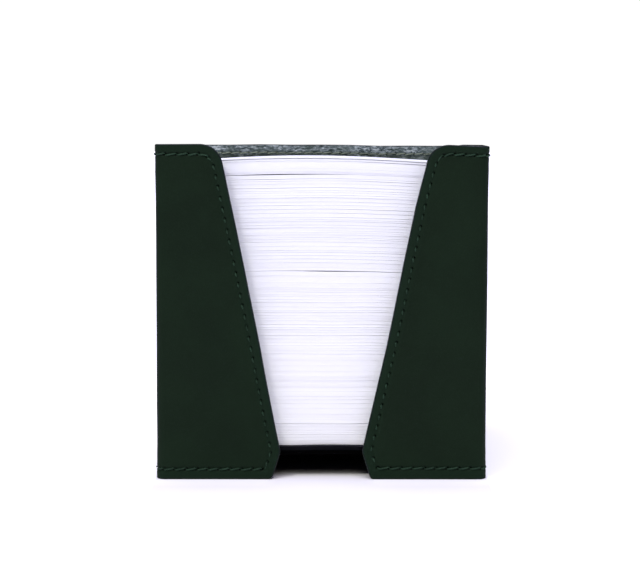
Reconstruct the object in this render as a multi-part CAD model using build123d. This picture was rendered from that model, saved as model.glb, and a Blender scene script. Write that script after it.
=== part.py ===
from build123d import *
import os
from math import atan, cos, tan

# Desk holder for a block of loose note cards: a square leather box with an open
# top and a V-shaped window in front.  The wall is one strip of leather bent round
# four vertical folds, lined with a second leather, with grey-board panels between
# the two.  A raised leather floor with turned-down flanges is caught in the bottom
# seam.  One lock-stitched seam runs round the whole edge of the wall.
# Frame: +Z up, front face towards -Y, origin at the bottom centre.

# ---- driving dimensions, mm ----
W = 100.0            # outside width, X
D = 100.0            # outside depth, Y
H = 101.3            # wall height
T_OUT = 1.4          # outer leather
T_LIN = 1.0          # lining leather
T_BOARD = 1.0        # wall stiffener board
R_FOLD = 2.6         # outside radius of the vertical folds

# front window, in X and Z: where each flap's slanted edge meets the top, where it
# ends at the floor level, and the foot of the flap
L_TOP_X, L_KNEE_X, L_FOOT_X = -30.8, -12.3, -15.0
R_TOP_X, R_KNEE_X, R_FOOT_X = 32.4, 12.3, 15.0
KNEE_Z = 8.2
R_FLAP_TOP = 7.0     # round at the top inner corner of each flap
R_KNEE = 4.0
R_FOOT = 1.5

SEAM_IN = 3.0        # seam distance from every edge
THREAD_W = 0.7       # width of the thread line
THREAD_T = 0.4       # how far the thread stands off the leather

BOARD_EDGE = 6.5     # board distance from the top and slanted edges
BOARD_FOLD = 5.5     # board distance from the outside of a fold
BOARD_LOW = 13.0     # lower edge of the wall boards, above the raised floor

FLOOR_TOP = 10.1     # height of the floor that the cards stand on
T_FLOOR = 1.2        # floor leather
R_FLOOR = 1.6        # bend of the flanges
FLOOR_FRONT = 0.7    # setback of the floor's front edge from the lining
T_FLOOR_BOARD = 1.4
FLOOR_BOARD = 86.0
T_UNDER = 0.8        # leather under the floor board
UNDER = 91.0

CARD = 90.0          # square note cards
LOW_H = 53.1         # lower packet
MID_H = 29.3         # middle packet
UP_H = 4.7           # upper packet
TOP_H = 0.6          # loose cards on top
CARD_GAP = 0.02      # air between packets

os.makedirs("parts", exist_ok=True)


def save(shape, name):
    export_step(shape, f"parts/{name}.step")


def tube(size_out, r_out, size_in, r_in, z0, z1):
    ring = RectangleRounded(size_out, size_out, r_out) - RectangleRounded(size_in, size_in, r_in)
    return Pos(0, 0, z0) * extrude(ring, amount=z1 - z0)


def front(face, y0, y1):
    """Prism of a face drawn in X and Z, from y0 back to y1 (y0 < y1)."""
    return extrude(Plane((0, y1, 0), x_dir=(1, 0, 0), z_dir=(0, -1, 0)) * face, amount=y1 - y0)


def poly(points):
    return make_face(Polyline(*points, close=True))


def rounded(face, picks):
    for (px, pz), r in picks:
        v = min(face.vertices(), key=lambda q: (q.X - px) ** 2 + (q.Y - pz) ** 2)
        face = fillet(v, r)
    return face


def flap(top_x, knee_x, foot_x, side, off=0.0):
    """Flap outline in X and Z, open towards the fold (runs out to 60 mm)."""
    f = poly([(side * 60, 0), (foot_x, 0), (knee_x, KNEE_Z), (top_x, H), (side * 60, H)])
    f = rounded(f, [((top_x, H), R_FLAP_TOP), ((knee_x, KNEE_Z), R_KNEE), ((foot_x, 0), R_FOOT)])
    if off:
        f = offset(f, amount=-off, kind=Kind.ARC)
    return f


flap_l = flap(L_TOP_X, L_KNEE_X, L_FOOT_X, -1)
flap_r = flap(R_TOP_X, R_KNEE_X, R_FOOT_X, 1)
opening = Pos(0, H / 2) * Rectangle(90, H + 2) - flap_l - flap_r
window = front(opening, -D / 2 - 5, -D / 2 + 6)

# ---- outer leather: one bent strip with the window cut out of the front ----
IN1 = W - 2 * T_OUT                      # inside size of the outer leather
R1 = R_FOLD - T_OUT
outer_leather = tube(W, R_FOLD, IN1, R1, 0, H) - window
save(outer_leather, "outer_leather")

# ---- lining leather, raised over the boards ----
IN2 = IN1 - 2 * T_LIN                    # inside size of the lining at its border
R2 = R1 - T_LIN
B_TOP = H - BOARD_EDGE
B_HALF = W / 2 - BOARD_FOLD


def edge_x(top_x, knee_x, z):
    return top_x + (knee_x - top_x) * (H - z) / (H - KNEE_Z)


def flap_board(top_x, knee_x, side, grow):
    lean = abs(knee_x - top_x) / (H - KNEE_Z)
    back = (BOARD_EDGE - grow) / cos(atan(lean))
    z0, z1 = BOARD_LOW - grow, B_TOP + grow
    x0, x1 = edge_x(top_x, knee_x, z0) + side * back, edge_x(top_x, knee_x, z1) + side * back
    return poly([(side * (B_HALF + grow), z0), (x0, z0), (x1, z1), (side * (B_HALF + grow), z1)])


def side_board(grow):
    return poly([(-B_HALF - grow, BOARD_LOW - grow), (B_HALF + grow, BOARD_LOW - grow),
                 (B_HALF + grow, B_TOP + grow), (-B_HALF - grow, B_TOP + grow)])


def wall_plane(name, depth):
    """Plane on a wall, depth mm in from its outside face, local x along the wall and local y up."""
    h = W / 2 - depth
    return {"front": Plane((0, -h, 0), x_dir=(1, 0, 0), z_dir=(0, -1, 0)),
            "back": Plane((0, h, 0), x_dir=(-1, 0, 0), z_dir=(0, 1, 0)),
            "left": Plane((-h, 0, 0), x_dir=(0, -1, 0), z_dir=(-1, 0, 0)),
            "right": Plane((h, 0, 0), x_dir=(0, 1, 0), z_dir=(1, 0, 0))}[name]


PADS = {
    "board_left_flap": ("front", lambda g: flap_board(L_TOP_X, L_KNEE_X, -1, g)),
    "board_right_flap": ("front", lambda g: flap_board(R_TOP_X, R_KNEE_X, 1, g)),
    "board_left_side": ("left", side_board),
    "board_right_side": ("right", side_board),
    "board_back": ("back", side_board),
}

lining = tube(IN1, R1, IN2, R2, 0, H)
boards = {}
d0, d1, d2 = T_OUT, T_OUT + T_BOARD, T_OUT + T_BOARD + T_LIN
for name, (wall, shape) in PADS.items():
    boards[name] = extrude(wall_plane(wall, d1) * shape(0), amount=T_BOARD)
    low = wall_plane(wall, d1) * shape(1.7)
    high = wall_plane(wall, d2) * shape(0.5)
    lining += loft([low.faces()[0], high.faces()[0]])
for name, board in boards.items():
    lining -= board
    save(board, name)
lining -= window
save(lining, "lining_leather")

# ---- raised floor: leather tray turned upside down, flanges caught in the bottom seam ----
FL = IN2 / 2
tray = extrude(RectangleRounded(IN2, IN2, 1.0), amount=FLOOR_TOP)
tray = fillet(tray.faces().sort_by(Axis.Z)[-1].edges(), R_FLOOR * 0.6)
hollow = extrude(Rectangle(IN2 - 2 * T_FLOOR, IN2 - 2 * T_FLOOR), amount=FLOOR_TOP - T_FLOOR)
tray -= hollow
for sx in (-1, 1):
    for sy in (-1, 1):
        tray -= Pos(sx * FL, sy * FL, 0) * Box(6, 6, 2 * (FLOOR_TOP - T_FLOOR))
tray -= front(opening, -FL - 1, -FL + T_FLOOR + 0.5) & (
    Pos(0, -FL, 0) * Box(60, 8, 2 * (FLOOR_TOP - T_FLOOR)))
tray -= front(opening, -FL - 1, -FL + FLOOR_FRONT)
save(tray, "floor_leather")

floor_under = FLOOR_TOP - T_FLOOR
floor_board = Pos(0, 0, floor_under - T_FLOOR_BOARD) * extrude(
    RectangleRounded(FLOOR_BOARD, FLOOR_BOARD, 2), amount=T_FLOOR_BOARD)
save(floor_board, "floor_board")

under = Pos(0, 0, floor_under - T_UNDER) * extrude(RectangleRounded(UNDER, UNDER, 2), amount=T_UNDER)
pad_low = Plane((0, 0, floor_under - T_UNDER)) * RectangleRounded(FLOOR_BOARD + 3.4, FLOOR_BOARD + 3.4, 3)
pad_high = Plane((0, 0, floor_under - T_FLOOR_BOARD - T_UNDER)) * RectangleRounded(
    FLOOR_BOARD + 1.0, FLOOR_BOARD + 1.0, 2.2)
under = under + loft([pad_low.faces()[0], pad_high.faces()[0]]) - floor_board
save(under, "floor_underside_leather")

# ---- seam threads: one closed line on each side of the wall ----
A, B = SEAM_IN - THREAD_W / 2, SEAM_IN + THREAD_W / 2


def seam_band(args, side, limit):
    band = flap(*args, side, A) - flap(*args, side, B)
    return band & Pos(side * limit / 2, H / 2) * Rectangle(limit, H + 2)


ARGS_L, ARGS_R = (L_TOP_X, L_KNEE_X, L_FOOT_X), (R_TOP_X, R_KNEE_X, R_FOOT_X)
X_END = W / 2 - R_FOLD


def rings(size_out, r_out, size_in, r_in, spans):
    made = None
    for z0, z1 in spans:
        ring = tube(size_out, r_out, size_in, r_in, z0, z1)
        ring -= Pos(0, -W / 2, (z0 + z1) / 2) * Box(2 * X_END, 10, 10)
        made = ring if made is None else made + ring
    return made


LOW, HIGH = (A, B), (H - B, H - A)
needle = rings(W + 2 * THREAD_T, R_FOLD + THREAD_T, W, R_FOLD, [LOW, HIGH])
needle += front(seam_band(ARGS_L, -1, X_END), -W / 2 - THREAD_T, -W / 2)
needle += front(seam_band(ARGS_R, 1, X_END), -W / 2 - THREAD_T, -W / 2)
save(needle, "needle_thread")

# inside, above the floor: on the lining
R3 = R2 + 0.1
bobbin = rings(IN2, R3, IN2 - 2 * THREAD_T, 0.1, [HIGH])
above = Pos(0, FLOOR_TOP + 0.4 + 60) * Rectangle(120, 120)
bobbin += front(seam_band(ARGS_L, -1, X_END) & above, -IN2 / 2, -IN2 / 2 + THREAD_T)
bobbin += front(seam_band(ARGS_R, 1, X_END) & above, -IN2 / 2, -IN2 / 2 + THREAD_T)

# inside, under the floor: on the flanges
IN3 = IN2 - 2 * T_FLOOR
below = Pos(0, floor_under - 0.4 - 60) * Rectangle(120, 120)
lower = rings(IN3, 0.2, IN3 - 2 * THREAD_T, 0.1, [LOW])
lower += front(seam_band(ARGS_L, -1, X_END) & below, -IN3 / 2, -IN3 / 2 + THREAD_T)
lower += front(seam_band(ARGS_R, 1, X_END) & below, -IN3 / 2, -IN3 / 2 + THREAD_T)
save(Compound([*bobbin.solids(), *lower.solids()]), "bobbin_thread")

# ---- note cards: packets that lift out one on another ----
z = FLOOR_TOP
for name, height in (("cards_lower", LOW_H), ("cards_middle", MID_H), ("cards_upper", UP_H), ("cards_top", TOP_H)):
    save(Pos(0, 0, z) * extrude(Rectangle(CARD, CARD), amount=height - CARD_GAP), name)
    z += height
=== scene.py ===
import math

import bpy
import numpy as np
from mathutils import Matrix, Vector
from mathutils.geometry import delaunay_2d_cdt
from mathutils.kdtree import KDTree


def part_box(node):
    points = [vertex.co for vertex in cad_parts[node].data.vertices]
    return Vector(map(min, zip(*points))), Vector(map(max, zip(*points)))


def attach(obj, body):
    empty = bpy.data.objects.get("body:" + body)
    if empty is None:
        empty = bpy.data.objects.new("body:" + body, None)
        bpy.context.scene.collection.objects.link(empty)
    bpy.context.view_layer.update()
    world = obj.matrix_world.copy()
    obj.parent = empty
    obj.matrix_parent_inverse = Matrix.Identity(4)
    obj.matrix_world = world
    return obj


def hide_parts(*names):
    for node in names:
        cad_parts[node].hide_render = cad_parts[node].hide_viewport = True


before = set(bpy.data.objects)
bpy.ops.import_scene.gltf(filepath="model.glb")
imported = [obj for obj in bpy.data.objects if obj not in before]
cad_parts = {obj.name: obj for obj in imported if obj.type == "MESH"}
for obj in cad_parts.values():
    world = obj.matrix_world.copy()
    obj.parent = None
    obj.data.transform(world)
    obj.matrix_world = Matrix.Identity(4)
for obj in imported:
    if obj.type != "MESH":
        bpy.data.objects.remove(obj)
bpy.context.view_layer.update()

MM = 0.001
rng = np.random.default_rng(20)

# ---------------------------------------------------------------- sizes, mm, from the CAD frame
lo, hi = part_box("outer_leather")
HALF, H = round(hi.x / MM, 3), round(hi.z / MM, 3)   # 50, 101.3
R_FOLD = 2.6
T_OUT, T_LIN, T_BOARD = 1.4, 1.0, 1.0
FLAT = HALF - R_FOLD
ARC = R_FOLD * math.pi / 2
U_FLAP = 3 * FLAT + 2 * ARC                          # where a flap's flat starts, from the middle of the back
UF = U_FLAP + FLAT                                   # on a flap |u| = UF - |x|
KNEE_Z = 8.2
PAD_TOP = H - 6.5
FLOOR_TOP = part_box("floor_leather")[1].z / MM


# ---------------------------------------------------------------- the wall, unrolled and bent
def wrap(u, z, off):
    """Points of the unrolled wall (u round the box from the middle of the back, z up, off outwards) in mm."""
    u, z, off = np.broadcast_arrays(np.asarray(u, float), np.asarray(z, float), np.asarray(off, float))
    a, sg = np.abs(u), np.where(u < 0, -1.0, 1.0)
    b1, b2, b3, b4 = FLAT, FLAT + ARC, 3 * FLAT + ARC, U_FLAP
    t1, t3 = (a - b1) / R_FOLD, (a - b3) / R_FOLD
    sel = [a <= b1, a <= b2, a <= b3, a <= b4]
    nx = np.select(sel, [0 * a, np.sin(t1), 1 + 0 * a, np.cos(t3)], 0.0)
    ny = np.select(sel, [1 + 0 * a, np.cos(t1), 0 * a, -np.sin(t3)], -1.0)
    cx = np.select(sel, [a, FLAT + 0 * a, FLAT + 0 * a, FLAT + 0 * a], UF - a)
    cy = np.select(sel, [FLAT + 0 * a, FLAT + 0 * a, FLAT - (a - b2), -FLAT + 0 * a], -FLAT)
    r = R_FOLD + off
    return settle(np.stack([sg * (cx + nx * r), cy + ny * r, z], -1)), np.stack([sg * nx, ny, 0 * nx], -1)


LEAN_Z = [0, 2.7, 5.7, 9.2, 13.3, 22, 31.4, 49.5, 67.6, 82.7, 89, 94.8, 99.3, 101.3]
LEAN_L = [-0.12, -0.10, 0.00, 0.14, 0.17, 0.10, 0.16, 0.21, 0.25, 0.27, 0.21, 0.14, 0.05, 0.01]
LEAN_R = [0.19, 0.15, 0.08, -0.05, -0.09, -0.06, -0.055, 0.03, 0.09, 0.07, 0.12, 0.235, 0.41, 0.49]


def settle(p):
    """The front folds of a hand-made box aren't quite upright: they lean by a few tenths of a millimetre."""
    x, y, z = p[..., 0], p[..., 1], p[..., 2]
    lean = np.where(x < 0, np.interp(z, LEAN_Z, LEAN_L), np.interp(z, LEAN_Z, LEAN_R))
    w = smooth(np.abs(x), 26, 49) * (1 - smooth(y, -46, -16))
    return np.stack([x + lean * w, y, z], -1)


def fillets(points, radii, step):
    """A closed polygon with rounded corners, sampled about every step."""
    pts = [np.array(p, float) for p in points]
    out = []
    n = len(pts)
    ends = []
    for i in range(n):
        p, a, b, r = pts[i], pts[i - 1], pts[(i + 1) % n], radii[i]
        da, db = (a - p) / np.linalg.norm(a - p), (b - p) / np.linalg.norm(b - p)
        half = math.acos(max(-1, min(1, float(da @ db)))) / 2
        if r <= 0 or half > math.pi / 2 - 1e-3:
            ends.append((p, p, None))
            continue
        t = r / math.tan(half)
        c = p + (da + db) / np.linalg.norm(da + db) * r / math.sin(half)
        ends.append((p + da * t, p + db * t, c))
    for i in range(n):
        s, e, c = ends[i]
        if c is not None:
            a0, a1 = math.atan2(*(s - c)[::-1]), math.atan2(*(e - c)[::-1])
            d = (a1 - a0 + math.pi) % (2 * math.pi) - math.pi
            rad = np.linalg.norm(s - c)
            k = max(4, int(abs(d) * rad / step) + 1, int(abs(d) / 0.16))
            out += [c + rad * np.array([math.cos(a0 + d * j / k), math.sin(a0 + d * j / k)]) for j in range(k)]
        nxt = ends[(i + 1) % n][0]
        k = max(1, round(float(np.linalg.norm(nxt - e)) / step))
        out += [e + (nxt - e) * j / k for j in range(k)]
    return np.array(out)


def smooth(x, a, b):
    t = np.clip((x - a) / (b - a), 0, 1)
    return t * t * (3 - 2 * t)


CUT_Z = [8.2, 13.3, 22.3, 31.4, 40, 49.5, 58.6, 67.6, 76, 82.7, 88.7, 95, 98, 101.3]
CUT_L = [0, -0.08, -0.02, 0.07, 0.25, 0.28, 0.29, 0.31, 0.27, 0.19, 0.12, 0.06, 0.03, 0.0]
CUT_R = [0, -0.04, -0.16, -0.29, -0.41, -0.31, -0.12, 0.04, 0.10, 0.16, -0.02, -0.27, -0.18, 0.0]
TOP_LINE = ([-180, -168, -156, -150, -130, -70, -33, -22, -11, 0, 10, 16, 21, 32, 40, 52, 75, 130, 150, 155, 160, 170],
            [0.25, 0.24, 0.17, 0.14, 0.08, 0.05, 0.04, 0.20, 0.06, 0.09, 0.0, -0.2, -0.33, -0.27, -0.33, -0.2, 0.05, -0.05, -0.53, -0.27,
             -0.04, 0.0])


def hand_cut(p):
    """The slight curve that hand cutting leaves in the flaps' slanted edges, and the rise of the left flap's top."""
    p = np.array(p, float)
    u, z = p[:, 0], p[:, 1]
    w = smooth(np.abs(u), U_FLAP - 1, U_FLAP + 12)
    du = np.where(u < 0, -np.interp(z, CUT_Z, CUT_L), np.interp(z, CUT_Z, CUT_R)) * w
    dz = np.interp(u, *TOP_LINE) * smooth(z, 60, H)
    return np.stack([u + du, z + dz], -1)


FOOT_L, KNEE_L, TOP_L = (-(UF - 15.0), 0.0), (-(UF - 12.3), KNEE_Z), (-(UF - 30.8), H)
FOOT_R, KNEE_R, TOP_R = (UF - 15.0, 0.0), (UF - 12.3, KNEE_Z), (UF - 32.4, H)
POLY = [FOOT_L, FOOT_R, KNEE_R, TOP_R, TOP_L, KNEE_L]
RADII = [1.5, 1.5, 4.0, 7.0, 7.0, 4.0]


def line_in(a, b, inset):
    a, b = np.array(a, float), np.array(b, float)
    d = (b - a) / np.linalg.norm(b - a)
    n = np.array([-d[1], d[0]])      # inwards on a counter-clockwise outline
    return a + n * inset, d


def meet(l1, l2):
    (p, d), (q, e) = l1, l2
    t = np.linalg.solve(np.array([d, -e]).T, q - p)
    return p + d * t[0]


def seam_poly(extra=0.0):
    b_l, b_r = line_in(FOOT_L, FOOT_R, 3.15 + extra), line_in(FOOT_L, FOOT_R, 3.42 + extra)
    f_r, g_r = line_in(FOOT_R, KNEE_R, 2.9 + extra), line_in(KNEE_R, TOP_R, 2.72 + extra)
    t_r, t_l = line_in(TOP_R, TOP_L, 2.75 + extra), line_in(TOP_R, TOP_L, 3.0 + extra)
    g_l, f_l = line_in(TOP_L, KNEE_L, 2.74 + extra), line_in(KNEE_L, FOOT_L, 2.9 + extra)
    v = U_FLAP
    pts = [meet(f_l, b_l), (-v, 3.15 + extra), (-v + 50, 3.0 + extra), (v - 50, 3.0 + extra), (v, 3.42 + extra),
           meet(b_r, f_r), meet(f_r, g_r), meet(g_r, t_r), (v, H - 2.8 - extra), (v - 50, H - 3.0 - extra),
           (-v + 50, H - 3.0 - extra), (-v, H - 3.0 - extra), meet(t_l, g_l), meet(g_l, f_l)]
    return pts, [1.3, 40, 40, 40, 40, 1.3, 1.5, 4.6, 40, 40, 40, 40, 4.6, 1.5]


class Path:
    """A closed path in the unrolled wall, by arc length."""

    def __init__(self, pts):
        self.p = np.vstack([pts, pts[:1]])
        self.s = np.r_[0, np.cumsum(np.linalg.norm(np.diff(self.p, axis=0), axis=1))]
        self.length = self.s[-1]

    def at(self, s):
        s = np.asarray(s, float) % self.length
        return np.stack([np.interp(s, self.s, self.p[:, k]) for k in (0, 1)], -1)

    def frame(self, s):
        t = self.at(s + 0.25) - self.at(s - 0.25)
        t /= np.linalg.norm(t, axis=-1, keepdims=True)
        return self.at(s), t, np.stack([t[..., 1], -t[..., 0]], -1)   # point, forwards, outwards

    def nearest(self, q):
        k = KDTree(len(self.p) - 1)
        for i, c in enumerate(self.p[:-1]):
            k.insert((c[0], c[1], 0), i)
        k.balance()
        return np.array([k.find((c[0], c[1], 0))[1] for c in np.atleast_2d(q)])


seam = Path(hand_cut(fillets(*seam_poly(), 0.1)))
ANCHORS = [  # a hole at this x and z on the front, and the number of stitches to the next one (0: as they fit)
    (-21.0, 3.15, 8), (-47.8, 3.15, 0), (48.6, 3.42, 9), (17.1, 3.42, 0), (16.36, 13.38, 25), (33.42, 92.86, 0),
    (39.3, 98.5, 2), (45.8, 98.5, 0), (-46.8, 98.3, 2), (-40.0, 98.3, 0), (-31.77, 92.11, 25), (-15.84, 11.16, 0)]
where = [seam.s[seam.nearest([math.copysign(UF - abs(x), x), z])[0]] for x, z, _ in ANCHORS]
holes = []
for i, (_, _, count) in enumerate(ANCHORS):
    a, b = where[i], where[(i + 1) % len(where)]
    run = (b - a) % seam.length
    count = count or max(1, round(run / 3.3))
    holes += [a + run * j / count for j in range(count)]
holes = np.array(holes)
holes = holes + rng.normal(0, 0.05, len(holes))
hole_p, hole_t, hole_n = seam.frame(holes)
hole_steep = smooth(np.abs(hole_t[:, 1]), 0.5, 0.9)
print("stitches", len(holes))


# ---------------------------------------------------------------- meshes of the unrolled wall
def stretch(u):
    """Widens the folds, so that triangles there are narrow across the bend."""
    a, sg = np.abs(u), np.where(u < 0, -1, 1)
    w = np.interp(a, [0, FLAT, FLAT + ARC, 3 * FLAT + ARC, U_FLAP, UF + 50],
                  [0, FLAT, FLAT + 3 * ARC, 3 * FLAT + 3 * ARC, 3 * FLAT + 6 * ARC, 3 * FLAT + 6 * ARC + UF + 50 - U_FLAP])
    return sg * w


def inside(pts, loop):
    x, y = pts[:, 0], pts[:, 1]
    odd = np.zeros(len(pts), bool)
    a, b = loop, np.roll(loop, -1, 0)
    for (x0, y0), (x1, y1) in zip(a, b):
        if y0 == y1:
            continue
        hit = (y0 > y) != (y1 > y)
        odd[hit] ^= x[hit] < (x1 - x0) * (y[hit] - y0) / (y1 - y0) + x0
    return odd


def thin(pts, gap):
    """Drops each point that lies within gap of one kept before it."""
    kept, cells = [], {}
    for i, (x, y) in enumerate(pts):
        cx, cy = int(x // gap), int(y // gap)
        if any((x - pts[j][0]) ** 2 + (y - pts[j][1]) ** 2 < gap * gap
               for gx in (cx - 1, cx, cx + 1) for gy in (cy - 1, cy, cy + 1) for j in cells.get((gx, gy), ())):
            continue
        cells.setdefault((cx, cy), []).append(i)
        kept.append(i)
    return pts[kept]


def loop_in(loop, d):
    """The closed loop moved inwards by d along its own normals."""
    t = np.roll(loop, -1, 0) - np.roll(loop, 1, 0)
    t /= np.linalg.norm(t, axis=1, keepdims=True)
    return loop + np.stack([-t[:, 1], t[:, 0]], -1) * d


def triangles(loop, inner):
    pts = np.vstack([loop, inner])
    flat = [Vector((float(stretch(u)), float(z))) for u, z in pts]
    n = len(loop)
    res = delaunay_2d_cdt(flat, [], [list(range(n))], 1, 1e-6)
    ids = [o[0] if o else -1 for o in res[3]]
    tris = np.array([[ids[i] for i in f] for f in res[2]])
    tris = tris[(tris >= 0).all(1)]
    p = np.stack([stretch(pts[:, 0]), pts[:, 1]], -1)[tris]
    area = np.cross(p[:, 1] - p[:, 0], p[:, 2] - p[:, 0])
    tris[area < 0] = tris[area < 0][:, ::-1]
    return pts, tris[np.abs(area) > 1e-7]


def grid_points(step_u, step_z, loop, margin):
    folds = [np.linspace(s, s + ARC, 11) for s in (FLAT, 3 * FLAT + ARC)]
    flats = [np.linspace(0, FLAT, int(FLAT / step_u) + 1), np.linspace(FLAT + ARC, 3 * FLAT + ARC, int(2 * FLAT / step_u) + 1),
             np.arange(U_FLAP + step_u, UF, step_u)]
    us = np.unique(np.round(np.concatenate([*folds, *flats]), 5))
    us = np.unique(np.concatenate([-us, us]))
    zs = np.linspace(0, H, int(H / step_z) + 1)
    g = np.stack(np.meshgrid(us, zs), -1).reshape(-1, 2)
    g = g[inside(g, loop)]
    return g[edge_distance(g, tree_of(loop)) > margin]


def hole_shape(q):
    """Distance from the nearest needle hole in hole sizes (1 at its lip), in that hole's own slanted frame along the
    seam.
    """
    tree = KDTree(len(hole_p))
    for i, c in enumerate(hole_p):
        tree.insert((c[0], c[1], 0), i)
    tree.balance()
    e = np.full(len(q), 9.0)
    for i, c in enumerate(q):
        _, j, dist = tree.find((c[0], c[1], 0))
        if dist < 1.2:
            d = c - hole_p[j]
            a, b = d @ hole_t[j], d @ hole_n[j]
            a, b = 0.80 * a + 0.60 * b, -0.60 * a + 0.80 * b
            e[i] = math.hypot(a / (0.52 - 0.20 * hole_steep[j]), b / (0.34 - 0.06 * hole_steep[j]))
    return e


def detail_points(loop, rows, fine):
    """Points round the seam: rows beside it, and rings in each needle hole."""
    pts = []
    for j in range(len(hole_p)):
        pts.append(hole_p[j])
        for r, k in ((0.36, 6), (0.7, 8), (1.0, 10), (1.35, 12)):
            for m in range(k):
                w = 2 * math.pi * (m + 0.5 * (k == 8)) / k
                a, b = r * 0.46 * math.cos(w), r * 0.30 * math.sin(w)
                a, b = 0.80 * a - 0.60 * b, 0.60 * a + 0.80 * b
                pts.append(hole_p[j] + hole_t[j] * a + hole_n[j] * b)
    pts = thin(np.array(pts), 0.06)
    n = int(seam.length / fine)
    s = np.arange(n) * seam.length / n
    p, _, out = seam.frame(s)
    near = KDTree(n)
    for i, c in enumerate(p):
        near.insert((c[0], c[1], 0), i)
    near.balance()
    lattice = []
    for q in rows:
        c = p + out * q
        ok = np.array([near.find((x[0], x[1], 0))[2] > abs(q) * 0.93 - 0.01 for x in c])
        lattice.append(c[ok])
    lattice = np.vstack(lattice)
    lattice = lattice[inside(lattice, loop)]
    lattice = lattice[hole_shape(lattice) > 1.55]
    lattice = lattice[edge_distance(lattice, tree_of(loop)) > 0.22]
    return np.vstack([pts, thin(lattice, 0.13)])


def make_mesh(name, co, faces, attrs=None, mats=(), face_mat=None, smooth_shade=True):
    me = bpy.data.meshes.new(name)
    faces = [list(map(int, f)) for f in faces]
    me.from_pydata([tuple(c) for c in np.asarray(co) * MM], [], faces)
    for m in mats:
        me.materials.append(m)
    if face_mat is not None:
        me.polygons.foreach_set("material_index", np.asarray(face_mat, np.int32))
    me.polygons.foreach_set("use_smooth", np.full(len(faces), smooth_shade))
    for k, v in (attrs or {}).items():
        at = me.attributes.new(k, "FLOAT", "POINT")
        at.data.foreach_set("value", np.asarray(v, np.float32))
    me.validate()
    me.update()
    ob = bpy.data.objects.new(name, me)
    bpy.context.scene.collection.objects.link(ob)
    return ob


def noise2(u, z, scale, seed, octaves=3):
    """Smooth value noise in -1..1 of the unrolled wall."""
    out, amp, total = np.zeros(np.shape(u)), 1.0, 0.0
    for o in range(octaves):
        x, y = np.asarray(u) / scale + 37.7 * seed + 500, np.asarray(z) / scale + 11.3 * seed + 500
        i, j = np.floor(x).astype(int), np.floor(y).astype(int)
        fx, fy = x - i, y - j
        fx, fy = fx * fx * (3 - 2 * fx), fy * fy * (3 - 2 * fy)

        def h(a, b):
            v = np.sin(a * 127.1 + b * 311.7 + seed * 74.7) * 43758.5453
            return (v - np.floor(v)) * 2 - 1

        v = (h(i, j) * (1 - fx) + h(i + 1, j) * fx) * (1 - fy) + (h(i, j + 1) * (1 - fx) + h(i + 1, j + 1) * fx) * fy
        out, total = out + amp * v, total + amp
        amp, scale = amp * 0.5, scale * 0.5
    return out / total


def seam_distance(q):
    n = len(seam.p) - 1
    tree = KDTree(n)
    for i, c in enumerate(seam.p[:-1]):
        tree.insert((c[0], c[1], 0), i)
    tree.balance()
    idx = np.empty(len(q), int)
    dist = np.empty(len(q))
    for i, c in enumerate(q):
        _, idx[i], dist[i] = tree.find((c[0], c[1], 0))
    _, _, out = seam.frame(seam.s[idx])
    side = np.sign(((q - seam.p[idx]) * out).sum(1))
    return dist * side, seam.s[idx]


def edge_distance(q, tree):
    return np.array([tree.find((c[0], c[1], 0))[2] for c in q])


def tree_of(loop):
    tree = KDTree(len(loop))
    for i, c in enumerate(loop):
        tree.insert((c[0], c[1], 0), i)
    tree.balance()
    return tree


# ---------------------------------------------------------------- materials
def tree_for(name):
    m = bpy.data.materials.new(name)
    m.use_nodes = True
    nt = m.node_tree
    return m, nt, nt.nodes["Principled BSDF"]


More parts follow.
